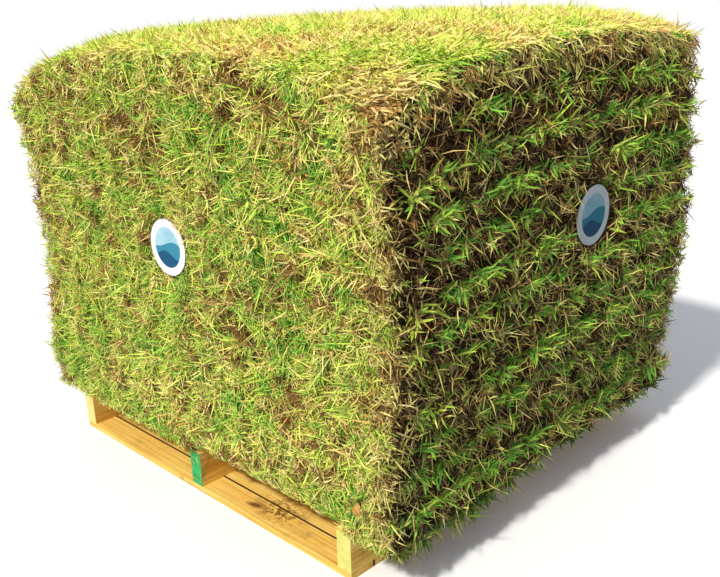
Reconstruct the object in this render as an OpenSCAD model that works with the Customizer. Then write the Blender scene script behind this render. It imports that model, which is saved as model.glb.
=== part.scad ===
// Loaded pallet of cut turf, in millimetres.
// Interlocked layers of turf slabs, sagging towards their corners, on a timber pallet.
// X runs along the boards, Y along the stringers and the fork pockets, and Z is up.
// The origin is on the floor under the middle of the load.

/* [Pallet] */
// Width of the pallet along its boards
pallet_w = 1016; // [960:1:1060]
// Length of the pallet along its stringers
pallet_l = 1067; // [1010:1:1120]
// Width of a stringer
stringer_w = 38; // [30:1:50]
// Height of a stringer
stringer_h = 89; // [70:1:110]
// Thickness of every deck board and bottom board
board_t = 16; // [12:0.5:22]
// Width of a deck board and of an inner bottom board
board_w = 89; // [70:1:110]
// Width of the narrow bottom board at either end
lead_board_w = 64; // [50:1:90]
// Gap between the narrow bottom board and the next one
lead_board_gap = 5; // [2:1:20]
// Number of deck boards
deck_boards = 7; // [5:1:8]
// How far the outer deck boards stand back from the stringers' ends
deck_setback = 25; // [0:1:40]

/* [Turf slabs] */
// Width of one slab, whose length is one and a half times as much
slab_w = 413.6; // [390:0.4:430]
// Number of layers
layers = 12; // [10:1:14]
// Height from one layer to the next in the middle of the stack
layer_pitch = 76; // [66:0.5:85]
// How much deeper each row of a layer has spread under the load
row_spread = 23; // [0:1:40]
// Open joint between neighbouring slabs
slab_joint = 5; // [2:0.5:10]
// Radius of a slab's upright corners
slab_corner_r = 18; // [8:1:30]
// Clearance under each layer
layer_clearance = 0.3; // [0.1:0.1:0.8]

/* [Sag of the stack] */
// Sag of the top layer at the middle of an edge
edge_sag = 25; // [0:1:40]
// Further sag of the top layer at its front corners
front_corner_sag = 80; // [0:1:100]
// Further sag of the top layer at its back corners
back_corner_sag = 25; // [0:1:100]
// Sag of every layer where it overhangs the pallet
overhang_sag = 12; // [0:1:20]
// Height of the waves between layers
wave_h = 4; // [0:0.5:6]
// Length of the waves between layers
wave_l = 470; // [400:10:900]
// Largest sideways shift of a layer
layer_shift = 12; // [0:1:18]

/* [Tags] */
// Diameter of a round tag
tag_d = 127; // [80:1:140]
// Thickness of a round tag
tag_t = 2; // [1:0.5:3]
// Place of the front tag along X
front_tag_x = -20; // [-300:1:300]
// Height of the front tag's centre
front_tag_z = 601; // [300:1:750]
// Place of the side tag along Y
side_tag_y = 90; // [-300:1:300]
// Height of the side tag's centre
side_tag_z = 638; // [300:1:750]

/* [Hidden] */
turf_colour = "#7f9638";
timber_colour = "#d8a648";
tag_colour = "#f2f3ef";
corner_steps = 4;
round_steps = 96;

slab_l = 1.5 * slab_w;
row_of_three = slab_l + row_spread;
row_of_two = slab_w + row_spread;
stack_x = 3 * slab_w;
stack_y = row_of_three + row_of_two;
deck_z = board_t + stringer_h;
stack_z = deck_z + board_t;

// Each layer's sideways shift as a share of layer_shift: the middle layers have slipped to the
// right and back. Both lists reach 1 and -1, which keeps the whole stack centred over the pallet.
shift_x_shares = [-0.4, -1, -0.2, 0.4, 0.3, 0.8, 1, 0.4, 0.7, 0.3, 0.2, -0.1];
shift_y_shares = [0.1, -0.4, -0.2, 0.2, 0.6, 0.8, 1, 0.4, 0.5, 0.3, -0.5, -1];

function numbered(stem, count) = [for (i = [1:count]) str(stem, i < 10 ? "0" : "", i)];

stringer_nodes = ["stringer_left", "stringer_middle", "stringer_right"];
deck_nodes = numbered("deck_board_", deck_boards);
bottom_nodes = numbered("bottom_board_", 5);
turf_nodes = numbered("turf_layer_", layers);

// Pallet

// One stringer; place is -1, 0 or 1 for left, middle or right.
module stringer(place) {
    x = place * (pallet_w - stringer_w) / 2;
    color(timber_colour)
        translate([x - stringer_w / 2, -pallet_l / 2, board_t])
            cube([stringer_w, pallet_l, stringer_h]);
}

// A board across the stringers, from y_front backwards.
module board(y_front, width, z) {
    color(timber_colour)
        translate([-pallet_w / 2, y_front, z])
            cube([pallet_w, width, board_t]);
}

module deck_board(i) {
    first = -pallet_l / 2 + deck_setback;
    pitch = (-2 * first - board_w) / (deck_boards - 1);
    board(first + (i - 1) * pitch, board_w, deck_z);
}

// The bottom has a pair of boards at either end and one in the middle.
module bottom_board(i) {
    lead = -pallet_l / 2;
    inner = lead + lead_board_w + lead_board_gap;
    fronts = [lead, inner, -board_w / 2, -inner - board_w, -lead - lead_board_w];
    width = i == 1 || i == 5 ? lead_board_w : board_w;
    board(fronts[i - 1], width, 0);
}

// Turf

function layer_shift_x(k) = layer_shift * shift_x_shares[(k - 1) % len(shift_x_shares)];
function layer_shift_y(k) = layer_shift * shift_y_shares[(k - 1) % len(shift_y_shares)];

// How far the top of the finished stack sags at a place.
function sag(x, y) =
    let (u = abs(x) * 2 / stack_x, v = abs(y) * 2 / stack_y)
    let (corner_sag = y < 0 ? front_corner_sag : back_corner_sag)
    edge_sag * (pow(u, 4) + pow(v, 4)) + corner_sag * pow(u * v, 3);

// How far a layer hangs down past the pallet's sides.
function overhang(x) =
    let (past = max(0, abs(x) - pallet_w / 2) / (stack_x / 2 - pallet_w / 2))
    overhang_sag * past * past;

function wave(j, x, y) = wave_h * sin(360 * (x / wave_l + 0.37 * j)) * cos(360 * (y / wave_l + 0.61 * j));

// Height of the surface between layers j and j + 1. The deck is surface 0 and is flat,
// and the sag builds up evenly with height.
function surface_z(j, x, y) =
    stack_z + j * layer_pitch - sag(x, y) * j / layers - overhang(x) + (j == 0 ? 0 : wave(j, x, y));

function both_ways(list) = concat([for (i = [len(list) - 1:-1:1]) -list[i]], list);

// Grid lines shared by every layer, so that each one nests on the layer below.
// They close up towards the edges, where the sag is strongest.
sheet_margin = layer_shift + 4;
edge_x = stack_x / 2 + sheet_margin;
edge_y = stack_y / 2 + sheet_margin;
side_x = pallet_w / 2;
lines_x = both_ways([0, 0.35 * side_x, 0.65 * side_x, 0.85 * side_x, side_x, (side_x + edge_x) / 2, edge_x]);
lines_y = both_ways([0, 0.35 * edge_y, 0.6 * edge_y, 0.78 * edge_y, 0.9 * edge_y, edge_y]);

function grid_points(j, lift) = [for (y = lines_y) for (x = lines_x) [x, y, surface_z(j, x, y) + lift]];

// The whole of layer k as one sagging sheet.
module turf_sheet(k) {
    nx = len(lines_x);
    ny = len(lines_y);
    n = nx * ny;
    cells = [for (j = [0:ny - 2]) for (i = [0:nx - 2]) j * nx + i];
    rows = [for (j = [0:ny - 2]) j * nx];
    under = concat([for (a = cells) [a, a + nx + 1, a + nx]], [for (a = cells) [a, a + 1, a + nx + 1]]);
    over = [for (f = under) [f[2] + n, f[1] + n, f[0] + n]];
    front = [for (a = [0:nx - 2]) [a, a + n, a + n + 1, a + 1]];
    back = [for (a = [n - nx:n - 2]) [a + 1, a + n + 1, a + n, a]];
    left = [for (a = rows) [a + nx, a + nx + n, a + n, a]];
    right = [for (r = rows) let (a = r + nx - 1) [a, a + n, a + nx + n, a + nx]];
    polyhedron(
        points = concat(grid_points(k - 1, layer_clearance), grid_points(k, 0)),
        faces = concat(under, over, front, back, left, right)
    );
}

// Outline of a rectangle with rounded corners about the origin.
function rounded_outline(w, l, r) = [
    for (q = [0:3])
        let (cx = (q == 0 || q == 3 ? 1 : -1) * (w / 2 - r), cy = (q < 2 ? 1 : -1) * (l / 2 - r))
        for (s = [0:corner_steps])
            let (a = 90 * (q + s / corner_steps))
            [cx + r * cos(a), cy + r * sin(a)]
];

module slab_outline(x, y, w, l) {
    translate([x, y])
        polygon(rounded_outline(w - slab_joint, l - slab_joint, slab_corner_r));
}

// Outlines of a layer's five slabs: three side by side, and two turned crosswise behind them.
module layer_outline() {
    for (i = [-1:1])
        slab_outline(i * slab_w, (row_of_three - stack_y) / 2, slab_w, row_of_three);
    for (i = [-0.5, 0.5])
        slab_outline(i * slab_l, (stack_y - row_of_two) / 2, slab_l, row_of_two);
}

// Every second layer is turned half round, so that it ties in the joints of the one below.
module turf_layer(k) {
    color(turf_colour)
        intersection() {
            turf_sheet(k);
            translate([layer_shift_x(k), layer_shift_y(k), 0])
                rotate([0, 0, 180 * (k % 2)])
                    linear_extrude(stack_z + (layers + 1) * layer_pitch)
                        layer_outline();
        }
}

// Tags

// The layers that a tag lies against, at a place on the stack's face.
function layers_behind(x, y, z) = [
    for (k = [1:layers])
        if (surface_z(k - 1, x, y) < z + tag_d / 2 && surface_z(k, x, y) > z - tag_d / 2) k
];

// A tag rests on the layer that stands out most behind it.
module tag_front() {
    face_y = min([for (k = layers_behind(front_tag_x, -stack_y / 2, front_tag_z)) layer_shift_y(k)]);
    color(tag_colour)
        translate([front_tag_x, face_y - stack_y / 2 + slab_joint / 2, front_tag_z])
            rotate([90, 0, 0])
                cylinder(d = tag_d, h = tag_t, $fn = round_steps);
}

module tag_side() {
    face_x = max([for (k = layers_behind(stack_x / 2, side_tag_y, side_tag_z)) layer_shift_x(k)]);
    color(tag_colour)
        translate([face_x + stack_x / 2 - slab_joint / 2, side_tag_y, side_tag_z])
            rotate([0, 90, 0])
                cylinder(d = tag_d, h = tag_t, $fn = round_steps);
}

for (i = [0:2])
    stringer(i - 1);
for (i = [1:deck_boards])
    deck_board(i);
for (i = [1:5])
    bottom_board(i);
for (k = [1:layers])
    turf_layer(k);
tag_front();
tag_side();
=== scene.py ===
# Dresses the loaded pallet of turf: grass and soil on every slab, sawn timber and plain tags.
# Lengths are in metres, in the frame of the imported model.
import math
from dataclasses import dataclass

import bpy
import numpy as np
from mathutils import Matrix, Vector
from mathutils.bvhtree import BVHTree


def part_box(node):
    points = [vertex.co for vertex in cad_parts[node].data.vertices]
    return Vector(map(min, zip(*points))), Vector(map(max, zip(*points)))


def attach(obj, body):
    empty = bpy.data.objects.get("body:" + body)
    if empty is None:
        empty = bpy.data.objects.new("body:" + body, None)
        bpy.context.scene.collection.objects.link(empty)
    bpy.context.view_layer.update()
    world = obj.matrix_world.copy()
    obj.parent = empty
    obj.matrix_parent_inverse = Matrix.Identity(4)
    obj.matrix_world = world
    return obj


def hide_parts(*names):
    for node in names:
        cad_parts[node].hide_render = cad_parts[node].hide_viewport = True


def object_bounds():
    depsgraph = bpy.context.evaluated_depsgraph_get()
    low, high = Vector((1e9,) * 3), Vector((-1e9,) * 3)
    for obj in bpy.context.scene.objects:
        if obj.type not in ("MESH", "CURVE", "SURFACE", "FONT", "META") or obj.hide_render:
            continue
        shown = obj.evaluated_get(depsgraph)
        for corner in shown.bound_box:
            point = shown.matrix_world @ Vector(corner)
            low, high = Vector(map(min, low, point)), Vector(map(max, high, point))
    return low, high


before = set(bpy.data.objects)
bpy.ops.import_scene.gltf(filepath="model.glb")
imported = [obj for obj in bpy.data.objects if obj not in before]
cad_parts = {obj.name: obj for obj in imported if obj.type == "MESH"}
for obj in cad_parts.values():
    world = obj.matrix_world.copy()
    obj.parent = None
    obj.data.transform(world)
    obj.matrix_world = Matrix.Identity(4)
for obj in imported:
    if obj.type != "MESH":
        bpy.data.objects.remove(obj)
cad_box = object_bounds()
scene = bpy.context.scene
scene.view_settings.view_transform = "Standard"

# Camera, fitted to the photograph
IMAGE_W = 720
IMAGE_H = 577
CAMERA_PLACE = Vector((1.521, -1.5545, 1.092))
CAMERA_YAW = math.radians(-48.73)
CAMERA_PITCH = math.radians(-20.91)
CAMERA_ROLL = math.radians(-3.33)
FOCAL_LENGTH_PX = 865.8
OPTICAL_CENTRE_PX = (287.3, 330.1)
SENSOR_W_MM = 36

# Light
SUN_FROM = Vector((0.08, -0.75, 0.80)).normalized()
SUN_STRENGTH = 3.45
SUN_SPREAD = math.radians(5)
SUN_COLOUR = (1.0, 0.97, 0.90)
SKY_STRENGTH = 0.50
SKY_COLOUR = (0.91, 0.95, 1.06, 1.0)

# Floor: half its side, the greys that are seen, and the grey that lights the object
FLOOR_HALF = 14.0
FLOOR_SEEN = (0.94, 0.96)
FLOOR_BOUNCE = 0.52

# Axes, by number
X_AXIS = 0
Y_AXIS = 1

# Turf layers, from the bottom up; every second one is turned half round
LAYERS = sorted(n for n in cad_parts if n.startswith("turf_layer_"))
TOP_LAYER = LAYERS[-1]
UPPER_LAYERS = LAYERS[-2:]
LAYER_PITCH = 0.074
SLAB_JOINT = 0.005
SLAB_CORNER_R = 0.018
STACK_CORNER_R = 0.012

# Grid of a layer's heights: its points along X and Y, how far outside the layer its rays start,
# their step towards the middle to miss a joint, and what keeps a place in the last cell
HEIGHT_GRID = (29, 25)
RAY_START = 1.0
RAY_SIDESTEP = 0.012
LAST_CELL = 1.001

# Soil body of a slab: heights in the layer, and how far each lies behind the outer face
WALL_LEVELS = np.array([0.0, 0.14, 0.34, 0.56, 0.78, 1.0])
WALL_INSETS = np.array([0.009, 0.003, 0.003, 0.008, 0.015, 0.018])
WALL_STEP = 0.014
WALL_ROUGHNESS = 0.0055
# Between slabs only one point in so many is kept, and the wall lies this far inside the solid
INNER_STEP = 4
INNER_INSET = 0.001
# How far the soil lies under the solid's top, in the hidden layers and in the top one
HIDDEN_SINK = 0.002
TOP_SINK = 0.003
# Rings of points on the caps of a body, as shares of the way from the middle to the rim
HIDDEN_RINGS = (0.86,)
TOP_RINGS = (0.96, 0.90, 0.80, 0.68, 0.54, 0.38, 0.2)

# Places of the two materials in a piece's list
GRASS = 0
SOIL = 1

# Waves of smooth noise, each with its share, wavelength and seed
RAGGED_WAVES = ((1.0, 0.05, 11), (0.6, 0.022, 12))
PATCH_WAVES = ((0.4, 0.25, 21), (0.7, 0.09, 22), (0.7, 0.04, 23))
TOP_WAVES = ((0.06, 0.30, 51), (0.06, 0.07, 52))
BARE_WAVES = ((0.5, 0.14, 61), (0.3, 0.45, 62))

# Seed of the growth on the lowest layer; the others follow
GROWTH_SEED = 100

# Shapes of a blade: where along it the ribbon is cut, and its width there
SPIKE = ((0.0, 1.0), (1.0, 0.0))
SHORT_BLADE = ((0.0, 0.8), (0.55, 1.0), (1.0, 0.0))
LONG_BLADE = ((0.0, 0.7), (0.35, 1.0), (0.7, 0.8), (1.0, 0.0))


@dataclass
class Growth:
    """One kind of blade on the faces of the stack. A pair holds the lowest and highest value."""

    axis: int  # X_AXIS for the left and right faces, Y_AXIS for the front and back
    density: float  # blades to the square metre
    inset: tuple  # depth of the root behind the face
    outward: tuple  # lean out of the face, against 1 along it
    length: tuple
    width: tuple
    tone: tuple  # middle and spread of the tone, from 0 for green to 1 for brown
    shade: tuple
    shape: tuple = SHORT_BLADE
    level: tuple = (0.0, 1.0)  # height of the root as a share of its layer
    droop: tuple = (0.0, 0.35)
    curl: float = 0.22
    per_tuft: int = 1
    tuft_r: float = 0.0
    fan: float = 0.0  # spread of the directions in one tuft
    heading: tuple = None  # middle and spread of the direction in the face, mirrored for half of them
    patchy: float = 0.10
    low_green: float = 0.0  # how much greener the growth is at the foot of the stack
    bare: float = 0.0  # share of the growth that is missing in bare patches


# Growth on the faces of every layer
FACE_GROWTH = (
    # Matted curls over the front and back
    Growth(
        axis=Y_AXIS, density=55000, inset=(-0.007, 0.004),
        outward=(0.02, 0.45), length=(0.010, 0.028), width=(0.0018, 0.0036), tone=(0.45, 0.13),
        shade=(1.08, 1.55), droop=(0.0, 0.12), curl=0.85, per_tuft=3, tuft_r=0.006, fan=0.9, patchy=0.22,
    ),
    # Dry bits between them
    Growth(
        axis=Y_AXIS, density=36000, shape=SPIKE, inset=(-0.006, 0.003),
        outward=(0.0, 0.40), length=(0.010, 0.024), width=(0.0018, 0.0032), tone=(0.69, 0.13),
        shade=(0.85, 1.45), patchy=0.15,
    ),
    # Blades that stand out from them
    Growth(
        axis=Y_AXIS, density=3000, inset=(0.0, 0.006),
        outward=(0.6, 1.6), length=(0.018, 0.032), width=(0.0024, 0.0040), tone=(0.38, 0.13),
        shade=(0.90, 1.15), curl=0.35,
    ),
    # Green tufts from the upper part of a layer on the left and right
    Growth(
        axis=X_AXIS, density=10000, shape=LONG_BLADE, level=(0.80, 1.0), inset=(-0.006, 0.006),
        outward=(0.25, 0.90), length=(0.016, 0.038), width=(0.0028, 0.0054), tone=(0.17, 0.13),
        shade=(0.85, 1.40), droop=(0.0, 0.25), curl=0.28, per_tuft=6, tuft_r=0.006, fan=0.5,
        heading=(0.15, 0.45), low_green=0.10, bare=0.75,
    ),
    # Short green bits between the tufts
    Growth(
        axis=X_AXIS, density=2600, level=(0.55, 1.0), inset=(-0.006, 0.006),
        outward=(0.10, 0.80), length=(0.012, 0.026), width=(0.0022, 0.0042), tone=(0.32, 0.12),
        shade=(0.90, 1.20), curl=0.40, bare=0.6,
    ),
    # Golden curls over the thatch
    Growth(
        axis=X_AXIS, density=11500, level=(0.0, 0.95), inset=(-0.006, 0.006),
        outward=(0.05, 0.60), length=(0.010, 0.022), width=(0.0014, 0.0028), tone=(0.77, 0.06),
        shade=(0.45, 1.05), curl=0.90, patchy=0.05, low_green=0.10,
    ),
    # Pale stems
    Growth(
        axis=X_AXIS, density=5000, level=(0.0, 0.95), inset=(-0.010, 0.002),
        outward=(0.20, 0.80), length=(0.012, 0.026), width=(0.0016, 0.0030), tone=(0.60, 0.08),
        shade=(1.00, 1.50), curl=0.70, low_green=0.12, bare=0.5,
    ),
    # Roots and thatch over the soil
    Growth(
        axis=X_AXIS, density=42000, shape=SPIKE, level=(0.0, 0.90), inset=(-0.003, 0.007),
        outward=(0.0, 0.40), length=(0.007, 0.019), width=(0.0014, 0.0030), tone=(0.94, 0.04),
        shade=(0.25, 0.85), patchy=0.03,
    ),
    # Stray broad blades
    Growth(
        axis=X_AXIS, density=50, shape=LONG_BLADE, level=(0.5, 1.0), inset=(-0.008, 0.0),
        outward=(0.2, 0.7), length=(0.034, 0.048), width=(0.0045, 0.0065), tone=(0.22, 0.05),
        shade=(0.90, 1.10),
    ),
    Growth(
        axis=Y_AXIS, density=60, shape=LONG_BLADE, level=(0.1, 1.0), inset=(-0.008, 0.0),
        outward=(0.1, 0.5), length=(0.034, 0.052), width=(0.0050, 0.0070), tone=(0.26, 0.05),
        shade=(1.00, 1.15),
    ),
)

# Fringe that hangs from the lowest layer
FRINGE = (
    Growth(
        axis=Y_AXIS, density=16000, level=(0.0, 0.12), inset=(-0.010, 0.0),
        outward=(0.10, 0.50), length=(0.016, 0.036), width=(0.0022, 0.0042), tone=(0.45, 0.15),
        shade=(0.80, 1.15), curl=0.50, heading=(-math.pi / 2, 0.8),
    ),
    Growth(
        axis=X_AXIS, density=15000, level=(0.0, 0.14), inset=(-0.006, 0.006),
        outward=(0.15, 0.60), length=(0.014, 0.034), width=(0.0026, 0.0050), tone=(0.18, 0.14),
        shade=(0.45, 1.00), curl=0.50, heading=(-math.pi / 2, 1.0),
    ),
)

# Grass that rolls over the edges of the top layer
ROLL_OVER = (
    Growth(
        axis=X_AXIS, density=21000, level=(0.40, 1.0), inset=(-0.008, 0.004),
        outward=(0.20, 0.90), length=(0.014, 0.032), width=(0.0020, 0.0038), tone=(0.64, 0.12),
        shade=(0.45, 1.15), curl=0.60, heading=(-math.pi / 2, 0.8),
    ),
    Growth(
        axis=Y_AXIS, density=9000, level=(0.55, 1.0), inset=(-0.008, 0.002),
        outward=(0.20, 0.90), length=(0.014, 0.030), width=(0.0020, 0.0038), tone=(0.52, 0.12),
        shade=(1.00, 1.40), curl=0.60, heading=(-math.pi / 2, 0.8),
    ),
)

# Patches of one tone lie flat, like the layers
PATCH_STRETCH = np.array([0.8, 0.8, 1.8])
# Brown spots on the front and back: from what patch value, over what range, and how strong
BROWN_START = 0.9
BROWN_RANGE = 0.8
BROWN_GAIN = 0.35
# Dry growth along the upright corners of the stack: its tone, how far it reaches along a face,
# its share at the corner itself, and how much shorter it is there
CORNER_TONE = 0.80
CORNER_WIDTH = 0.04
CORNER_SHARE = 0.6
CORNER_TRIM = 0.7
# Painted shade there: how much darker the blades are made on the left and right faces, and on the front
# and back
CORNER_SHADE = (1.0, 0.45)
# Painted shade on the growth at the foot of each layer on the left and right faces, under the layer above,
# and how far up it reaches
FOOT_SHADE = 0.40
FOOT_HEIGHT = 0.35
# Lowest root in a layer, as a share of its height
LOWEST_ROOT = 0.02
# How much shorter the growth round the top edge is
TOP_EDGE_TRIM = 0.40
# Height up to which the growth is greener towards the foot of the stack
GREEN_HEIGHT = 0.80
# How much drier the foot of the upper layers is, and the driest tone of any blade
UPPER_TONE = 0.09
DRIEST_TONE = 0.93
# Bare patches: their middle, how much barer it is high up in front, and how far bare corners reach
BARE_MIDDLE = 0.35
BARE_HIGH = 0.7
BARE_CORNER_WIDTH = 0.035
# High up in front: above what height and over what rise, forward of what place and over what run
HIGH_START = 0.5
HIGH_RISE = 0.4
FRONT_START = 0.1
FRONT_RUN = 0.5
# How far the blades on a face turn their flat side out of it, and how much that varies
FACING_OUT = 0.6
FACING_SPREAD = 0.4
# Painted shade at the root of a blade on a face, against 1 at its tip
FACE_ROOT_SHADE = 0.6

# How low the grass hangs before the pallet's front and back: over the right pocket, and elsewhere.
# It is trimmed to a slope from there, so grass that stands further out ends higher up.
POCKET_FRINGE = 0.119
END_FRINGE = 0.086
# Grass this far behind the pallet's ends is not trimmed
BEHIND_END = 0.01
# How low it hangs past the pallet's sides: from the front as far as a place along Y, then rising
SIDE_FRINGE = 0.062
SIDE_FRINGE_RISE = 0.042
SIDE_RISE_START = -0.275
SIDE_RISE_LENGTH = 0.30


@dataclass
class TopGrowth:
    """One kind of blade on top of the stack."""

    density: float
    shape: tuple
    lift: tuple  # height of the root over the soil
    lean: tuple  # sideways, against 1 upwards
    length: tuple
    width: tuple
    tone: tuple
    shade: tuple


TOP_GROWTH = (
    # Blades lying every way
    TopGrowth(
        density=30500, shape=SHORT_BLADE, lift=(0.0, 0.010), lean=(2.5, 9.0), length=(0.014, 0.030),
        width=(0.0028, 0.0046), tone=(0.49, 0.12), shade=(1.05, 1.35),
    ),
    # Dry bits between them
    TopGrowth(
        density=39000, shape=SPIKE, lift=(0.0, 0.010), lean=(2.0, 8.0), length=(0.012, 0.026),
        width=(0.0020, 0.0034), tone=(0.63, 0.09), shade=(1.00, 1.20),
    ),
    # Standing blades
    TopGrowth(
        density=4500, shape=SHORT_BLADE, lift=(0.0, 0.004), lean=(0.4, 1.4), length=(0.012, 0.022),
        width=(0.0024, 0.0040), tone=(0.46, 0.10), shade=(1.10, 1.30),
    ),
)
TOP_MARGIN = 0.002
TOP_DROOP = (0.0, 0.2)
TOP_CURL = 0.45
TOP_FACING_SPREAD = 0.5
# Painted shade at the root of a blade on top, against 1 at its tip
TOP_ROOT_SHADE = 0.95
# Band round the top where the grass leans and droops outwards
EDGE_BAND = 0.030
EDGE_LEAN = 0.9
EDGE_DROOP = 0.4
# Dry growth at the corners of the top: how far it reaches and its share, and painted shade there: how much
# darker its blades are made
TOP_CORNER_WIDTH = 0.09
TOP_CORNER_SHARE = 0.7
TOP_CORNER_SHADE = 0.5

# Fallen leaf: its place and size, its points along, how blunt it is, and how far it slants and bulges
LEAF_PLACE = Vector((0.571, -0.573, 0.211))
LEAF_LENGTH = 0.032
LEAF_WIDTH = 0.019
LEAF_POINTS = 9
LEAF_BLUNTNESS = 0.8
LEAF_SLANT = 0.004
LEAF_BULGE = 0.006
LEAF_SIDE_BULGE = 0.003

# Timber: shift of the grain from piece to piece, and how far grain and knots are drawn out
GRAIN_SHIFT = (0.37, 0.71, 0.53)
GRAIN_STRETCH = 0.03
KNOT_STRETCH = 0.35
# Colours of each stringer's ends, and how far the cover holds where it is worn
STRINGER_ENDS = {
    "stringer_left": (((226, 206, 112), (240, 228, 146)), 0.8),
    "stringer_middle": (((22, 140, 72), (58, 186, 108)), 0.3),
    "stringer_right": (((204, 208, 110), (238, 224, 132)), 0.7),
}
# Depth of the colour on those ends
END_SKIN = 0.0005
# Soil dropped on the bottom boards in the right pocket
DIRT_SPOT = (0.235, -0.475, 0.016)
DIRT_SPOT_SIZE = (0.10, 0.06, 0.05)
# How far the dark dirt and painted shade in the joint of the bottom boards reach over their edges
JOINT_DIRT_AND_SHADE = 0.0003

# Tags, with the axis that each looks along, which way, and how much painted shade greys it
TAGS = (("tag_front", Y_AXIS, -1, 0.0), ("tag_side", X_AXIS, 1, 1.0))
# Grey of the painted shade on the tag on the shaded side
TAG_PAINTED_SHADE = (190, 198, 200)
# Print of a tag: its share of the radius, and the swing, shift, level and colour of each hill
PRINT_SHARE = 0.72
HILLS = ((3.2, 0.4, 0.10, (60, 138, 164)), (4.1, 2.3, -0.26, (34, 84, 122)))
HILL_HEIGHT = 0.12
# Room without grass at a tag: how far past its rim, and from how far before its back
TAG_ROOM = ((0.001, -0.01), (0.014, 0.012))
# Soil is pressed this far behind a tag, out to a margin, unless it stands too far before it
PRESS_DEPTH = 0.003
PRESS_MARGIN = 0.012
PRESS_LIMIT = 0.05

# How far the grass may stand out of the solids, with a little room to the limit
REACH_SHARE = 0.03
REACH_MORE = 0.006
CAD_SIZE = np.array(cad_box[1]) - np.array(cad_box[0])
REACH = REACH_SHARE * CAD_SIZE + REACH_MORE
REACH_LOW = np.array(cad_box[0]) - REACH
REACH_HIGH = np.array(cad_box[1]) + REACH

UP = np.array([0, 0, 1.0])


def srgb(red, green, blue):
    """A colour written as it looks, from 0 to 255, as the shader needs it."""
    parts = np.array([red, green, blue]) / 255
    linear = np.where(parts <= 0.04045, parts / 12.92, ((parts + 0.055) / 1.055) ** 2.4)
    return (*linear.tolist(), 1.0)


def grey(value):
    """A neutral colour for the shader."""
    return (value, value, value, 1.0)


def unit(vectors):
    """Vectors brought to length 1."""
    return vectors / np.maximum(np.linalg.norm(vectors, axis=-1, keepdims=True), 1e-9)


def ripple(points, wavelength, seed, waves=16):
    """Smooth noise of spread 1 about 0, from waves of one length in random directions."""
    rng = np.random.default_rng(seed)
    towards = unit(rng.normal(size=(waves, 3)))
    phase = rng.uniform(0, 2 * math.pi, waves)
    heights = np.sin(points @ (towards.T * 2 * math.pi / wavelength) + phase)
    return heights.sum(1) / math.sqrt(waves / 2)


def ripples(points, waves):
    """A sum of ripples, each with its share, wavelength and seed."""
    return sum(share * ripple(points, wavelength, seed) for share, wavelength, seed in waves)


# Stage


def make_camera():
    """The photograph's camera."""
    forward = Vector((
        math.sin(CAMERA_YAW) * math.cos(CAMERA_PITCH),
        math.cos(CAMERA_YAW) * math.cos(CAMERA_PITCH),
        math.sin(CAMERA_PITCH),
    ))
    level = Vector((math.cos(CAMERA_YAW), -math.sin(CAMERA_YAW), 0))
    upright = level.cross(forward)
    right = math.cos(CAMERA_ROLL) * level + math.sin(CAMERA_ROLL) * upright
    up = math.cos(CAMERA_ROLL) * upright - math.sin(CAMERA_ROLL) * level
    data = bpy.data.cameras.new("camera")
    data.sensor_fit = "HORIZONTAL"
    data.sensor_width = SENSOR_W_MM
    data.lens = FOCAL_LENGTH_PX / IMAGE_W * SENSOR_W_MM
    data.shift_x = (IMAGE_W / 2 - OPTICAL_CENTRE_PX[0]) / IMAGE_W
    data.shift_y = (OPTICAL_CENTRE_PX[1] - IMAGE_H / 2) / IMAGE_W
    camera = bpy.data.objects.new("camera", data)
    turn = Matrix((right, up, -forward)).transposed()
    camera.matrix_world = Matrix.Translation(CAMERA_PLACE) @ turn.to_4x4()
    scene.collection.objects.link(camera)
    scene.camera = camera


def make_sun():
    """Sunlight from the front."""
    data = bpy.data.lights.new("sun", "SUN")
    data.energy = SUN_STRENGTH
    data.angle = SUN_SPREAD
    data.color = SUN_COLOUR
    sun = bpy.data.objects.new("sun", data)
    sun.rotation_mode = "QUATERNION"
    sun.rotation_quaternion = SUN_FROM.to_track_quat("Z", "Y")
    scene.collection.objects.link(sun)


def seen_directly(tree):
    """1 where the camera, a reflection or a see-through surface looks, and 0 for light on the object."""
    path = tree.nodes.new("ShaderNodeLightPath")
    first = math_node(tree, "MAXIMUM", path.outputs["Is Camera Ray"], path.outputs["Is Glossy Ray"])
    return math_node(tree, "MAXIMUM", first, path.outputs["Is Transmission Ray"])


def make_sky():
    """A pale sky for light on the object, seen as white."""
    world = bpy.data.worlds.new("sky")
    world.use_nodes = True
    scene.world = world
    tree = world.node_tree
    tree.nodes.clear()
    light = tree.nodes.new("ShaderNodeBackground")
    light.inputs["Color"].default_value = SKY_COLOUR
    light.inputs["Strength"].default_value = SKY_STRENGTH
    white = tree.nodes.new("ShaderNodeBackground")
    white.inputs["Color"].default_value = grey(1.0)
    mix = tree.nodes.new("ShaderNodeMixShader")
    out = tree.nodes.new("ShaderNodeOutputWorld")
    tree.links.new(seen_directly(tree), mix.inputs["Fac"])
    tree.links.new(light.outputs[0], mix.inputs[1])
    tree.links.new(white.outputs[0], mix.inputs[2])
    tree.links.new(mix.outputs[0], out.inputs["Surface"])


def make_floor():
    """A white floor that throws less light on the object than it seems to."""
    mesh = bpy.data.meshes.new("floor")
    signs = ((-1, -1), (1, -1), (1, 1), (-1, 1))
    mesh.from_pydata([(x * FLOOR_HALF, y * FLOOR_HALF, 0) for x, y in signs], [], [(0, 1, 2, 3)])
    material, tree, shader = new_material("floor", roughness=0.9)
    seen = fade(tree, noise(tree, 3.0, 2.0), 0.3, 0.7, *FLOOR_SEEN)
    tint = blend(tree, seen_directly(tree), grey(FLOOR_BOUNCE), seen)
    tree.links.new(tint, shader.inputs["Base Color"])
    mesh.materials.append(material)
    floor = bpy.data.objects.new("floor", mesh)
    floor.location.z = cad_box[0].z
    scene.collection.objects.link(floor)


# Shader helpers


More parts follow.
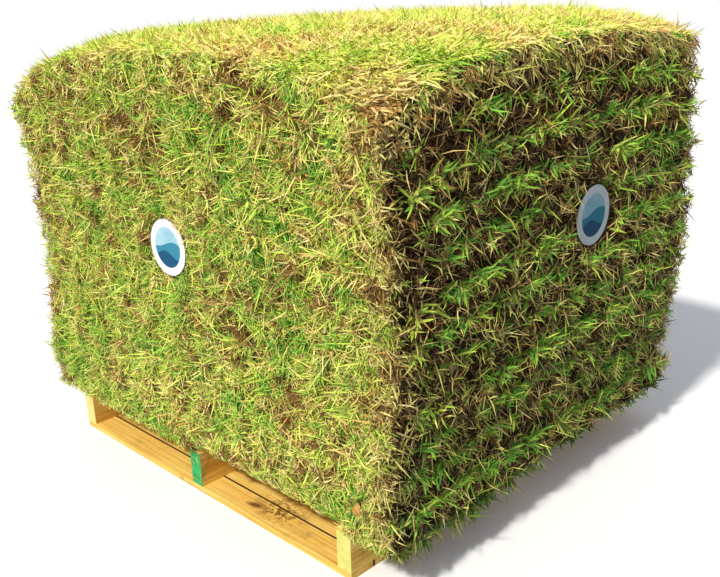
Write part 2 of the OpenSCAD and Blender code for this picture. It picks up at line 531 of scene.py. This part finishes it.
def new_material(name, roughness, specular=0.5):
    """A material with its node tree and its shader."""
    material = bpy.data.materials.new(name)
    material.use_nodes = True
    tree = material.node_tree
    shader = tree.nodes["Principled BSDF"]
    shader.inputs["Roughness"].default_value = roughness
    shader.inputs["Specular IOR Level"].default_value = specular
    return material, tree, shader


def math_node(tree, operation, first, second=0.0):
    """A Math node on two sockets or numbers."""
    node = tree.nodes.new("ShaderNodeMath")
    node.operation = operation
    for value, socket in zip((first, second), node.inputs):
        if isinstance(value, (int, float)):
            socket.default_value = value
        else:
            tree.links.new(value, socket)
    return node.outputs[0]


def placed(tree, scale, offset):
    """The place on the object, scaled along each axis and then moved."""
    place = tree.nodes.new("ShaderNodeTexCoord")
    mapping = tree.nodes.new("ShaderNodeMapping")
    mapping.inputs["Scale"].default_value = scale
    mapping.inputs["Location"].default_value = offset
    tree.links.new(place.outputs["Object"], mapping.inputs["Vector"])
    return mapping.outputs[0]


def from_centre(tree, centre, scale):
    """The place on the object as seen from a centre, scaled along each axis."""
    return placed(tree, scale, [-c * k for c, k in zip(centre, scale)])


def axes_of(tree, vector):
    """The X, Y and Z of a vector."""
    parts = tree.nodes.new("ShaderNodeSeparateXYZ")
    tree.links.new(vector, parts.inputs[0])
    return parts.outputs


def length_of(tree, vector):
    """The length of a vector."""
    node = tree.nodes.new("ShaderNodeVectorMath")
    node.operation = "LENGTH"
    tree.links.new(vector, node.inputs[0])
    return node.outputs["Value"]


def noise(tree, scale, detail, stretch=(1, 1, 1), roughness=0.55, offset=(0, 0, 0)):
    """Noise over the object, finer along the axes whose stretch is larger."""
    texture = tree.nodes.new("ShaderNodeTexNoise")
    texture.inputs["Scale"].default_value = scale
    texture.inputs["Detail"].default_value = detail
    texture.inputs["Roughness"].default_value = roughness
    tree.links.new(placed(tree, stretch, offset), texture.inputs["Vector"])
    return texture.outputs["Fac"]


def ramp(tree, factor, stops):
    """A colour ramp with (place, colour) stops."""
    node = tree.nodes.new("ShaderNodeValToRGB")
    elements = node.color_ramp.elements
    for place, _ in stops[2:]:
        elements.new(place)
    for element, (place, colour) in zip(elements, stops):
        element.position = place
        element.color = colour
    tree.links.new(factor, node.inputs["Fac"])
    return node.outputs["Color"]


def fade(tree, factor, start, end, first=0.0, last=1.0):
    """A grey that goes from first to last while the factor goes from start to end."""
    return ramp(tree, factor, [(start, grey(first)), (end, grey(last))])


def mottled(tree, scale, detail, dark, light, start=0.3, end=0.7):
    """Two colours in soft blotches."""
    return ramp(tree, noise(tree, scale, detail), [(start, srgb(*dark)), (end, srgb(*light))])


def blend(tree, factor, first, second, kind="MIX"):
    """Two colours mixed; factor may be a socket or a number."""
    node = tree.nodes.new("ShaderNodeMix")
    node.data_type = "RGBA"
    node.blend_type = kind
    node.clamp_result = True
    for value, socket in ((factor, node.inputs[0]), (first, node.inputs[6]), (second, node.inputs[7])):
        if isinstance(value, bpy.types.NodeSocket):
            tree.links.new(value, socket)
        else:
            socket.default_value = value
    return node.outputs[2]


def attribute(tree, name):
    """A value that each vertex carries."""
    node = tree.nodes.new("ShaderNodeAttribute")
    node.attribute_name = name
    return node.outputs["Fac"]


def bump(tree, shader, height, strength, distance):
    """Fine relief from a height."""
    node = tree.nodes.new("ShaderNodeBump")
    node.inputs["Strength"].default_value = strength
    node.inputs["Distance"].default_value = distance
    tree.links.new(height, node.inputs["Height"])
    tree.links.new(node.outputs[0], shader.inputs["Normal"])


# Materials


def grass_material():
    """Leaf from deep green through straw to brown thatch, by each blade's own tone, scaled by its shade,
    which holds painted shade at roots, corners and layer feet besides its own brightness.
    """
    material, tree, shader = new_material("grass", roughness=0.62, specular=0.25)
    leaf = ramp(tree, attribute(tree, "tone"), [
        (0.00, srgb(82, 138, 42)),
        (0.20, srgb(134, 187, 62)),
        (0.38, srgb(190, 215, 74)),
        (0.54, srgb(229, 221, 112)),
        (0.68, srgb(239, 219, 146)),
        (0.80, srgb(206, 158, 80)),
        (0.90, srgb(138, 98, 48)),
        (1.00, srgb(64, 46, 24)),
    ])
    # The shade attribute carries painted shade as well as each blade's own brightness
    shaded = blend(tree, 1.0, leaf, attribute(tree, "shade"), "MULTIPLY")
    tree.links.new(shaded, shader.inputs["Base Color"])
    return material


def soil_material():
    """Dark soil at the foot of a layer, matted roots and thatch above it."""
    material, tree, shader = new_material("soil", roughness=0.95, specular=0.1)
    clods = noise(tree, 70, 6.0, roughness=0.65)
    fibres = noise(tree, 160, 3.0, stretch=(1, 1, 2.5))
    soil = ramp(tree, clods, [
        (0.34, srgb(16, 11, 7)),
        (0.55, srgb(40, 28, 17)),
        (0.74, srgb(78, 59, 35)),
    ])
    thatch = ramp(tree, fibres, [
        (0.34, srgb(26, 22, 10)),
        (0.55, srgb(62, 54, 26)),
        (0.74, srgb(116, 98, 56)),
    ])
    mat = ramp(tree, fibres, [
        (0.34, srgb(132, 116, 52)),
        (0.55, srgb(178, 164, 80)),
        (0.74, srgb(212, 198, 116)),
    ])
    level = math_node(tree, "ADD", attribute(tree, "tone"), math_node(tree, "MULTIPLY", clods, 0.6))
    side = blend(tree, fade(tree, level, 0.80, 1.0), soil, thatch)
    tree.links.new(blend(tree, attribute(tree, "shade"), side, mat), shader.inputs["Base Color"])
    bump(tree, shader, clods, strength=0.9, distance=0.006)
    return material


def leaf_material():
    """Dry brown leaf."""
    material, tree, shader = new_material("dead_leaf", roughness=0.6)
    tint = mottled(tree, 160, 3.0, (160, 104, 44), (216, 160, 82), 0.35, 0.65)
    tree.links.new(tint, shader.inputs["Base Color"])
    return material


def drawn_out(axis, stretch):
    """A texture's scale along each axis, drawn out along one of them."""
    scale = [1.0, 1.0, 1.0]
    scale[axis] = stretch
    return scale


def timber_material(name, number, along):
    """Sawn softwood with its grain along one axis, a few knots and some dirt."""
    material, tree, shader = new_material(name, roughness=0.7, specular=0.2)
    offset = [shift * number for shift in GRAIN_SHIFT]
    fine = noise(tree, 190, 5.0, drawn_out(along, GRAIN_STRETCH), offset=offset)
    broad = noise(tree, 34, 3.0, drawn_out(along, GRAIN_STRETCH), offset=offset)
    knots = noise(tree, 15, 2.0, drawn_out(along, KNOT_STRETCH), offset=offset)
    dirt = noise(tree, 11, 6.0, offset=offset, roughness=0.7)
    fine_part = math_node(tree, "MULTIPLY", fine, 0.6)
    grain = math_node(tree, "ADD", fine_part, math_node(tree, "MULTIPLY", broad, 0.4))
    wood = ramp(tree, grain, [
        (0.34, srgb(194, 142, 58)),
        (0.47, srgb(226, 180, 84)),
        (0.58, srgb(240, 204, 108)),
        (0.70, srgb(246, 220, 140)),
    ])
    knot = fade(tree, knots, 0.70, 0.76)
    stain = fade(tree, dirt, 0.56, 0.74, last=0.75)
    from_spot = length_of(tree, from_centre(tree, DIRT_SPOT, [1 / size for size in DIRT_SPOT_SIZE]))
    spot = fade(tree, from_spot, 0.25, 1.0, first=1.0, last=0.0)
    specks = fade(tree, noise(tree, 75, 5.0, roughness=0.7), 0.46, 0.56)
    wood = blend(tree, knot, wood, srgb(118, 72, 32))
    wood = blend(tree, stain, wood, srgb(134, 112, 58))
    wood = blend(tree, blend(tree, 1.0, spot, specks, "MULTIPLY"), wood, srgb(116, 82, 34))
    tree.links.new(wood, shader.inputs["Base Color"])
    bump(tree, shader, grain, strength=0.35, distance=0.002)
    return material


def paint_over(tree, where, colour):
    """Puts a colour over the wood where a mask is 1."""
    base = tree.nodes["Principled BSDF"].inputs["Base Color"]
    wood = base.links[0].from_socket
    tree.links.new(blend(tree, where, wood, colour), base)


def object_y(tree):
    """The place on the object along Y."""
    return axes_of(tree, placed(tree, (1, 1, 1), (0, 0, 0)))["Y"]


def darken_joint(material):
    """Dark dirt and painted shade in the narrow gap between the two bottom boards at either end."""
    tree = material.node_tree
    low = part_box("bottom_board_01")[1].y
    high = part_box("bottom_board_02")[0].y
    from_middle = math_node(tree, "ABSOLUTE", object_y(tree))
    from_joint = math_node(tree, "ABSOLUTE", math_node(tree, "ADD", from_middle, (low + high) / 2))
    inside = math_node(tree, "LESS_THAN", from_joint, (high - low) / 2 + JOINT_DIRT_AND_SHADE)
    # Painted shade and dirt: the joint's walls are painted dark
    paint_over(tree, inside, srgb(84, 58, 28))


def dress_ends(material, colours, cover):
    """Another colour on the two ends of a stringer, worn through where cover is less than 1."""
    tree = material.node_tree
    lo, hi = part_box("stringer_middle")
    y = object_y(tree)
    on_front = math_node(tree, "LESS_THAN", y, lo.y + END_SKIN)
    on_back = math_node(tree, "GREATER_THAN", y, hi.y - END_SKIN)
    on_end = math_node(tree, "MAXIMUM", on_front, on_back)
    wear = fade(tree, noise(tree, 90, 4.0), 0.34, 0.46, first=cover)
    tint = mottled(tree, 45, 3.0, *colours)
    paint_over(tree, math_node(tree, "MULTIPLY", on_end, wear), tint)


def tag_material(node, axis, painted_shade):
    """A white tag with a plain printed roundel: a pale field over two rolling hills, greyed by painted
    shade.
    """
    material, tree, shader = new_material(node, roughness=0.7, specular=0.1)
    lo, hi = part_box(node)
    radius = (hi.z - lo.z) / 2
    scale = [1 / radius] * 3
    scale[axis] = 0.0
    place = from_centre(tree, (lo + hi) / 2, scale)
    axes = axes_of(tree, place)
    across = axes["X" if axis == Y_AXIS else "Y"]
    printed = math_node(tree, "LESS_THAN", length_of(tree, place), PRINT_SHARE)
    paper = mottled(tree, 60, 3.0, (226, 230, 232), (240, 243, 243))
    field = mottled(tree, 40, 2.0, (150, 196, 214), (178, 214, 226))
    tint = blend(tree, printed, paper, field)
    for swing, shift, level, colour in HILLS:
        angle = math_node(tree, "ADD", math_node(tree, "MULTIPLY", across, swing), shift)
        crest = math_node(tree, "MULTIPLY", math_node(tree, "SINE", angle), HILL_HEIGHT)
        below = math_node(tree, "LESS_THAN", axes["Z"], math_node(tree, "ADD", crest, level))
        tint = blend(tree, math_node(tree, "MULTIPLY", below, printed), tint, srgb(*colour))
    # Painted shade greys the whole tag by its share
    tint = blend(tree, painted_shade, tint, srgb(*TAG_PAINTED_SHADE), "MULTIPLY")
    tree.links.new(tint, shader.inputs["Base Color"])
    return material


# Heights and outlines of the layers


def height_grid(node, from_above):
    """Heights of a layer's top or underside, on a grid over its box."""
    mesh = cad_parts[node].data
    tree = BVHTree.FromPolygons([v.co for v in mesh.vertices], [p.vertices for p in mesh.polygons])
    lo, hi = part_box(node)
    start_z = hi.z + RAY_START if from_above else lo.z - RAY_START
    way = Vector((0, 0, -1 if from_above else 1))
    inset = 2 * SLAB_JOINT
    xs = np.linspace(lo.x + inset, hi.x - inset, HEIGHT_GRID[0])
    ys = np.linspace(lo.y + inset, hi.y - inset, HEIGHT_GRID[1])
    heights = np.empty((len(ys), len(xs)))
    for j, y in enumerate(ys):
        for i, x in enumerate(xs):
            hit = None
            step = 0.0
            while hit is None:
                aside = Vector((x * (1 - step), y * (1 - step), start_z))
                hit = tree.ray_cast(aside, way)[0]
                step += RAY_SIDESTEP
            heights[j, i] = hit.z
    return xs, ys, heights


def heights_at(grid, x, y):
    """Heights between the points of a grid; outside it, those of its edge."""
    xs, ys, heights = grid
    u = np.clip((x - xs[0]) / (xs[1] - xs[0]), 0, len(xs) - LAST_CELL)
    v = np.clip((y - ys[0]) / (ys[1] - ys[0]), 0, len(ys) - LAST_CELL)
    i = u.astype(int)
    j = v.astype(int)
    u = u - i
    v = v - j
    front = heights[j, i] * (1 - u) + heights[j, i + 1] * u
    back = heights[j + 1, i] * (1 - u) + heights[j + 1, i + 1] * u
    return front * (1 - v) + back * v


def slab_rectangles(node):
    """Low and high corners of a layer's five slabs in plan."""
    lo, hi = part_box(node)
    width = (hi.x - lo.x + SLAB_JOINT) / 3
    length = (hi.x - lo.x + SLAB_JOINT) / 2
    spread = (hi.y - lo.y + SLAB_JOINT - width - length) / 2
    turned = (LAYERS.index(node) + 1) % 2 == 1
    rectangles = []
    rows = ((3, width, length + spread, not turned), (2, length, width + spread, turned))
    for count, across, deep, in_front in rows:
        y = lo.y if in_front else hi.y - deep + SLAB_JOINT
        for i in range(count):
            x = lo.x + i * across
            low = np.array([x, y])
            rectangles.append((low, low + np.array([across, deep]) - SLAB_JOINT))
    return rectangles


def outline_length(lo, hi, radius):
    """Way round a rectangle with rounded corners."""
    return 2 * (hi[0] - lo[0] + hi[1] - lo[1]) - 8 * radius + 2 * math.pi * radius


def on_outline(s, lo, hi, radius):
    """Points and outward normals at distances s round a rectangle with rounded corners."""
    ways = np.array([(1, 0), (0, 1), (-1, 0), (0, -1)], float)
    normals = np.array([(0, -1), (1, 0), (0, 1), (-1, 0)], float)
    corners = np.array([(hi[0], lo[1]), (hi[0], hi[1]), (lo[0], hi[1]), (lo[0], lo[1])])
    centres = corners - radius * (normals + np.roll(normals, -1, axis=0))
    arc = math.pi * radius / 2
    sides = [hi[0] - lo[0] - 2 * radius, hi[1] - lo[1] - 2 * radius] * 2
    starts = np.concatenate([[0], np.cumsum([part for side in sides for part in (side, arc)])])
    s = np.mod(s, starts[-1])
    part = np.clip(np.searchsorted(starts, s, side="right") - 1, 0, 7)
    along = s - starts[part]
    q = part // 2
    angle = (q - 1 + along / arc) * math.pi / 2
    turned = np.stack([np.cos(angle), np.sin(angle)], 1)
    straight = (part % 2 == 0)[:, None]
    normal = np.where(straight, normals[q], turned)
    on_side = centres[q - 1] + radius * normals[q] + along[:, None] * ways[q]
    return np.where(straight, on_side, centres[q] + radius * turned), normal


# Meshes


class Heap:
    """Faces of one piece, gathered and then made into one mesh."""

    def __init__(self):
        self.vertices = []
        self.corners = []
        self.sizes = []
        self.materials = []
        self.tones = []
        self.shades = []
        self.count = 0

    def add(self, vertices, faces, material, tone, shade):
        """faces is a list of arrays of vertex numbers, each array with one number of corners."""
        for group in faces:
            self.corners.append((group + self.count).ravel())
            self.sizes.append(np.full(len(group), group.shape[1]))
            self.materials.append(np.full(len(group), material))
        self.vertices.append(vertices)
        self.tones.append(tone)
        self.shades.append(shade)
        self.count += len(vertices)

    def make(self, name, materials):
        """The piece itself, riding on the root."""
        mesh = bpy.data.meshes.new(name)
        sizes = np.concatenate(self.sizes)
        corners = np.concatenate(self.corners)
        mesh.vertices.add(self.count)
        mesh.vertices.foreach_set("co", np.concatenate(self.vertices).astype(np.float32).ravel())
        mesh.loops.add(len(corners))
        mesh.loops.foreach_set("vertex_index", corners.astype(np.int32))
        mesh.polygons.add(len(sizes))
        mesh.polygons.foreach_set("loop_start", (np.cumsum(sizes) - sizes).astype(np.int32))
        mesh.polygons.foreach_set("material_index", np.concatenate(self.materials).astype(np.int32))
        for label, values in (("tone", self.tones), ("shade", self.shades)):
            layer = mesh.attributes.new(label, "FLOAT", "POINT")
            layer.data.foreach_set("value", np.concatenate(values).astype(np.float32))
        mesh.update(calc_edges=True)
        mesh.validate()
        for material in materials:
            mesh.materials.append(material)
        piece = bpy.data.objects.new(name, mesh)
        scene.collection.objects.link(piece)
        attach(piece, "root")
        return piece


# Soil bodies


def raggedness(points):
    """How far the ragged outer face of the soil stands out at each place."""
    return WALL_ROUGHNESS * ripples(points, RAGGED_WAVES)


def body_outline(layer, lo, hi):
    """Points round a slab with their normals, and which of them lie on the outside of the stack."""
    layer_lo, layer_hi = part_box(layer)
    around = outline_length(lo, hi, SLAB_CORNER_R)
    steps = int(around / WALL_STEP)
    edge, normal = on_outline(np.arange(steps) * around / steps, lo, hi, SLAB_CORNER_R)
    room = np.minimum(edge - np.array(layer_lo[:2]), np.array(layer_hi[:2]) - edge).min(1)
    outer = room < SLAB_CORNER_R
    keep = outer | (np.arange(steps) % INNER_STEP == 0)
    return edge[keep], normal[keep], outer[keep]


def wall_rings(edge, normal, outer, top, under, sink):
    """Rings of points up the wall of a slab, from its underside to its top."""
    low_z = heights_at(under, edge[:, 0], edge[:, 1])
    high_z = heights_at(top, edge[:, 0], edge[:, 1]) - sink
    rings = []
    for level, inset in zip(WALL_LEVELS, WALL_INSETS):
        ring = np.column_stack([edge, low_z + level * (high_z - low_z)])
        back = np.where(outer, inset - raggedness(ring), INNER_INSET)
        ring[:, :2] -= normal * back[:, None]
        press_behind_tags(ring)
        rings.append(ring)
    return rings


def cap_rings(rim, middle, shares, grid, drop):
    """Rings of points from near a cap's rim to its middle, which is the last one."""
    rings = []
    for share in shares:
        plan = middle + (rim[:, :2] - middle) * share
        rings.append(np.column_stack([plan, heights_at(grid, plan[:, 0], plan[:, 1]) - drop]))
    centre_z = heights_at(grid, middle[:1], middle[1:]) - drop
    rings.append(np.column_stack([middle[None], centre_z]))
    return rings


def ring_faces(first, second):
    """Quads between two rings of vertex numbers."""
    return np.stack([first, np.roll(first, -1), np.roll(second, -1), second], 1)


def fan_faces(middle, first, second):
    """Triangles from a middle to a ring of edges, given as their first and second vertex numbers."""
    return np.stack([np.full(len(first), middle[0]), first, second], 1)


def add_slab_body(heap, layer, rectangle, top, under):
    """A slab's ragged soil body: its wall, and caps that follow the layer's top and underside."""
    lo, hi = rectangle
    middle = (lo + hi) / 2
    is_top = layer == TOP_LAYER
    sink = TOP_SINK if is_top else HIDDEN_SINK
    edge, normal, outer = body_outline(layer, lo, hi)
    wall = wall_rings(edge, normal, outer, top, under, sink)
    below = cap_rings(wall[0], middle, HIDDEN_RINGS, under, 0.0)[::-1]
    above = cap_rings(wall[-1], middle, TOP_RINGS if is_top else HIDDEN_RINGS, top, sink)
    rings = below + wall + above
    vertices = np.concatenate(rings)
    numbers = np.split(np.arange(len(vertices)), np.cumsum([len(ring) for ring in rings])[:-1])
    quads = [ring_faces(a, b) for a, b in zip(numbers[1:-2], numbers[2:-1])]
    first, last = numbers[1], numbers[-2]
    fans = [
        fan_faces(numbers[0], np.roll(first, -1), first),
        fan_faces(numbers[-1], last, np.roll(last, -1)),
    ]
    levels = [0.0] * len(below) + WALL_LEVELS.tolist() + [1.0] * len(above)
    heights = [np.full(len(ring), level) for ring, level in zip(rings, levels)]
    # The front, the back and the top are matted over
    matted = [np.resize(normal[:, 1] ** 2, len(ring)) for ring in rings]
    if is_top:
        matted[-len(above):] = [np.ones(len(ring)) for ring in above]
    heap.add(vertices, quads + fans, SOIL, np.concatenate(heights), np.concatenate(matted))


# Grass


def add_blades(heap, root, direction, facing, bend, length, width, shape, tone, shade, root_shade):
    """Ribbons that start at root, run along direction and curve by bend, flat towards facing."""
    share = np.array([s[0] for s in shape])
    spread = np.array([s[1] for s in shape])
    run = direction[:, None] * share[None, :, None] + bend[:, None] * (share ** 2)[None, :, None]
    spine = root[:, None] + length[:, None, None] * run
    across = unit(np.cross(direction, facing))
    half = across[:, None] * (width[:, None] * spread[None] / 2)[:, :, None]
    pairs = np.stack([spine - half, spine + half], axis=2)[:, :-1].reshape(len(root), -1, 3)
    blades = np.concatenate([pairs, spine[:, -1:]], axis=1)
    fits = fitting(blades)
    blades, tone, shade = blades[fits], np.clip(tone[fits], 0, 1), shade[fits]
    each = blades.shape[1]
    start = np.arange(len(blades))[:, None] * each
    quads = [start + np.array([2 * i, 2 * i + 1, 2 * i + 3, 2 * i + 2]) for i in range(len(shape) - 2)]
    tips = [start + np.array([each - 3, each - 2, each - 1])]
    along = np.append(np.repeat(share[:-1], 2), 1.0)
    # Painted shade: each blade darkens from its tip towards its root
    shades = shade[:, None] * (root_shade + (1 - root_shade) * along)[None]
    heap.add(blades.reshape(-1, 3), quads + tips, GRASS, np.repeat(tone, each), shades.ravel())


def over_tags(points, margin):
    """For each tag: the points within its outline, how far they stand before its back, and its face."""
    for node, axis, sign, _ in TAGS:
        lo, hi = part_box(node)
        plane = [i for i in range(3) if i != axis]
        centre = np.array((lo + hi) / 2)
        within = np.linalg.norm(points[:, plane] - centre[plane], axis=1) < (hi.z - lo.z) / 2 + margin
        back = hi[axis] if sign < 0 else lo[axis]
        yield within, sign * (points[:, axis] - back), axis, sign


def fitting(blades):
    """True for blades that stay within reach of the solids, off the tags and above the pockets."""
    fits = ((blades > REACH_LOW) & (blades < REACH_HIGH)).all(axis=(1, 2))
    pallet_x, pallet_y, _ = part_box("stringer_right")[1]
    over_pocket = (blades[:, 0, 0] > 0) & (blades[:, 0, 0] < pallet_x)
    past_end = np.abs(blades[:, :, 1]) - pallet_y
    height = (blades[:, :, 2] - np.maximum(past_end, 0)).min(1)
    fits &= (past_end.max(1) < -BEHIND_END) | (height > np.where(over_pocket, POCKET_FRINGE, END_FRINGE))
    rise = np.clip((blades[:, 0, 1] - SIDE_RISE_START) / SIDE_RISE_LENGTH, 0, 1)
    past_side = np.abs(blades[:, 0, 0]) > pallet_x
    fits &= blades[:, :, 2].min(1) > SIDE_FRINGE + SIDE_FRINGE_RISE * rise * past_side
    points = blades.reshape(-1, 3)
    for margin, depth in TAG_ROOM:
        for within, before, _, _ in over_tags(points, margin):
            fits &= ~(within & (before > depth)).reshape(len(blades), -1).any(1)
    return fits


def press_behind_tags(points):
    """Moves the points of a body that would stand through a tag back behind it."""
    for within, before, axis, sign in over_tags(points, PRESS_MARGIN):
        too_far = within & (before > -PRESS_DEPTH) & (before < PRESS_LIMIT)
        points[too_far, axis] -= sign * (before[too_far] + PRESS_DEPTH)


def from_corners(edge, lo, hi, width):
    """1 at the upright corners of a layer, falling off over a width along its faces."""
    to_corner = np.minimum(edge - np.array(lo[:2]), np.array(hi[:2]) - edge)
    return np.exp(-np.linalg.norm(to_corner, axis=1) / width)


def bareness(layer, edge, place):
    """How bare a layer's faces are at each place, from 0 to 1."""
    if layer == TOP_LAYER:
        return np.ones(len(place))
    lo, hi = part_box(layer)
    high = np.clip(place[:, 2] - HIGH_START, 0, HIGH_RISE)
    in_front = np.clip(FRONT_START - place[:, 1], 0, FRONT_RUN)
    high_in_front = high * in_front / (HIGH_RISE * FRONT_RUN)
    bare = BARE_MIDDLE + ripples(place, BARE_WAVES) + BARE_HIGH * high_in_front
    return np.maximum(np.clip(bare, 0, 1), from_corners(edge, lo, hi, BARE_CORNER_WIDTH))


def tufts(layer, growth, rng):
    """Random places for blades on a layer's faces: distance round it, height and heading."""
    lo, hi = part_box(layer)
    around = outline_length(lo, hi, STACK_CORNER_R)
    count = int(growth.density * around * LAYER_PITCH / growth.per_tuft)
    s = rng.uniform(0, around, count)
    level = rng.uniform(*growth.level, count)
    heading = rng.uniform(0, 2 * math.pi, count)
    if growth.heading:
        heading = rng.normal(*growth.heading, count)
        heading = np.where(rng.uniform(size=count) < 0.5, heading, math.pi - heading)
    edge, normal = on_outline(s, lo, hi, STACK_CORNER_R)
    place = np.column_stack([edge, np.full(count, lo.z) + level * LAYER_PITCH])
    chance = normal[:, growth.axis] ** 2 * (1 - growth.bare * bareness(layer, edge, place))
    keep = rng.uniform(size=count) < chance
    spread = growth.tuft_r * rng.normal(size=(2, keep.sum() * growth.per_tuft))
    s = np.repeat(s[keep], growth.per_tuft) + spread[0]
    level = np.repeat(level[keep], growth.per_tuft) + spread[1] / LAYER_PITCH
    heading = np.repeat(heading[keep], growth.per_tuft) + growth.fan * rng.normal(size=len(s))
    return s, np.clip(level, LOWEST_ROOT, 1.0), heading


def add_face_growth(heap, layer, growth, top, under, rng):
    """One kind of blade on the faces of a layer."""
    lo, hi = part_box(layer)
    s, level, heading = tufts(layer, growth, rng)
    count = len(s)
    edge, normal = on_outline(s, lo, hi, STACK_CORNER_R)
    low_z = heights_at(under, edge[:, 0], edge[:, 1])
    high_z = heights_at(top, edge[:, 0], edge[:, 1])
    out = np.column_stack([normal, np.zeros(count)])
    root = np.column_stack([edge, low_z + level * (high_z - low_z)])
    root -= out * (rng.uniform(*growth.inset, count) - raggedness(root))[:, None]
    across = np.column_stack([-normal[:, 1], normal[:, 0], np.zeros(count)])
    lean = rng.uniform(*growth.outward, count)[:, None]
    direction = unit(out * lean + across * np.cos(heading)[:, None] + UP * np.sin(heading)[:, None])
    bend = growth.curl * rng.normal(size=(count, 3)) - UP * rng.uniform(*growth.droop, count)[:, None]
    width = rng.uniform(*growth.width, count)
    facing = FACING_OUT * out + np.array(SUN_FROM) + rng.normal(0, FACING_SPREAD, (count, 3))
    corner = CORNER_SHARE * from_corners(edge, lo, hi, CORNER_WIDTH)
    length = rng.uniform(*growth.length, count) * (1 - CORNER_TRIM * corner)
    if layer == TOP_LAYER:
        length *= 1 - TOP_EDGE_TRIM * level
    patch = ripples(root * PATCH_STRETCH, PATCH_WAVES)
    tone = rng.normal(*growth.tone, count) + growth.patchy * patch
    if growth.axis == Y_AXIS:
        tone += BROWN_GAIN * np.clip(patch - BROWN_START, 0, BROWN_RANGE)
    tone -= growth.low_green * np.clip(1 - root[:, 2] / GREEN_HEIGHT, 0, 1)
    tone += (CORNER_TONE - tone) * corner
    if layer in UPPER_LAYERS:
        tone += UPPER_TONE * (1 - level)
    tone = np.minimum(tone, DRIEST_TONE)
    shade = rng.uniform(*growth.shade, count)
    # Painted shade along the upright corners, strongest on the left and right faces
    shade *= 1 - CORNER_SHADE[growth.axis] * corner
    # Painted shade at the foot of each layer on the left and right faces
    if growth.axis == X_AXIS:
        shade *= np.interp(level, (0.0, FOOT_HEIGHT), (FOOT_SHADE, 1.0))
    add_blades(
        heap, root, direction, facing, bend, length, width, growth.shape, tone, shade, FACE_ROOT_SHADE,
    )


def add_top_growth(heap, growth, top, rng):
    """One kind of blade on top of the stack, leaning every way, and outwards at the edges."""
    lo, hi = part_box(TOP_LAYER)
    low = np.array(lo[:2])
    high = np.array(hi[:2])
    count = int(growth.density * np.prod(high - low))
    plan = rng.uniform(low + TOP_MARGIN, high - TOP_MARGIN, (count, 2))
    soil_z = heights_at(top, plan[:, 0], plan[:, 1]) - TOP_SINK
    root = np.column_stack([plan, soil_z + rng.uniform(*growth.lift, count)])
    outwards = np.clip(1 - (high - plan) / EDGE_BAND, 0, 1) - np.clip(1 - (plan - low) / EDGE_BAND, 0, 1)
    sideways = unit(rng.normal(size=(count, 2))) + EDGE_LEAN * outwards
    aside = unit(np.column_stack([sideways, np.zeros(count)]))
    direction = unit(aside * rng.uniform(*growth.lean, count)[:, None] + UP)
    droop = rng.uniform(*TOP_DROOP, count) + EDGE_DROOP * np.linalg.norm(outwards, axis=1)
    bend = TOP_CURL * rng.normal(size=(count, 3)) - UP * droop[:, None]
    length = rng.uniform(*growth.length, count)
    width = rng.uniform(*growth.width, count)
    facing = np.array(SUN_FROM) + rng.normal(0, TOP_FACING_SPREAD, (count, 3))
    corner = TOP_CORNER_SHARE * from_corners(plan, lo, hi, TOP_CORNER_WIDTH)
    tone = rng.normal(*growth.tone, count) + ripples(root, TOP_WAVES)
    tone += (CORNER_TONE - tone) * corner
    # Painted shade at the corners of the top
    shade = rng.uniform(*growth.shade, count) * (1 - TOP_CORNER_SHADE * corner)
    add_blades(
        heap, root, direction, facing, bend, length, width, growth.shape, tone, shade, TOP_ROOT_SHADE,
    )


def make_turf():
    """Soil and grass for every layer, and the grass on top."""
    materials = [grass_material(), soil_material()]
    for number, layer in enumerate(LAYERS):
        rng = np.random.default_rng(GROWTH_SEED + number)
        top = height_grid(layer, True)
        under = height_grid(layer, False)
        heap = Heap()
        for rectangle in slab_rectangles(layer):
            add_slab_body(heap, layer, rectangle, top, under)
        edges = {LAYERS[0]: FRINGE, TOP_LAYER: ROLL_OVER}.get(layer, ())
        for growth in FACE_GROWTH + edges:
            add_face_growth(heap, layer, growth, top, under, rng)
        piece = heap.make("grass_" + layer, materials)
        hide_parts(layer)
        if layer == TOP_LAYER:
            canopy = Heap()
            for growth in TOP_GROWTH:
                add_top_growth(canopy, growth, top, rng)
            canopy.make("grass_on_top", materials)


def make_leaf():
    """One fallen leaf caught on the front, hanging down."""
    share = np.linspace(0, 1, LEAF_POINTS)
    arch = np.sin(math.pi * share)
    half = LEAF_WIDTH / 2 * arch ** LEAF_BLUNTNESS
    rows = []
    for side in (-1, 0, 1):
        x = LEAF_PLACE.x + side * half + LEAF_SLANT * share
        y = LEAF_PLACE.y - LEAF_BULGE * arch - LEAF_SIDE_BULGE * abs(side) * arch
        rows.append(np.column_stack([x, y, LEAF_PLACE.z + LEAF_LENGTH * (0.5 - share)]))
    vertices = np.concatenate(rows)
    first = np.arange(LEAF_POINTS - 1)
    second = first + LEAF_POINTS
    strip = np.stack([first, first + 1, second + 1, second], 1)
    faces = np.concatenate([strip, strip + LEAF_POINTS])
    heap = Heap()
    heap.add(vertices, [faces], material=0, tone=np.full(len(vertices), 0.5), shade=np.ones(len(vertices)))
    heap.make("dead_leaf", [leaf_material()])


# Timber and tags


def dress_pallet():
    """Timber on the stringers and boards."""
    for number, (name, piece) in enumerate(sorted(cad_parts.items())):
        if name.startswith("stringer_"):
            material = timber_material(name, number, Y_AXIS)
            dress_ends(material, *STRINGER_ENDS[name])
        elif "_board_" in name:
            material = timber_material(name, number, X_AXIS)
            if name.startswith("bottom_"):
                darken_joint(material)
        else:
            continue
        piece.data.materials.clear()
        piece.data.materials.append(material)


def dress_tags():
    """Print and painted shade on the tags."""
    for node, axis, _, painted_shade in TAGS:
        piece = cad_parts[node]
        piece.data.materials.clear()
        piece.data.materials.append(tag_material(node, axis, painted_shade))


make_camera()
make_sun()
make_sky()
make_floor()
make_turf()
make_leaf()
dress_pallet()
dress_tags()
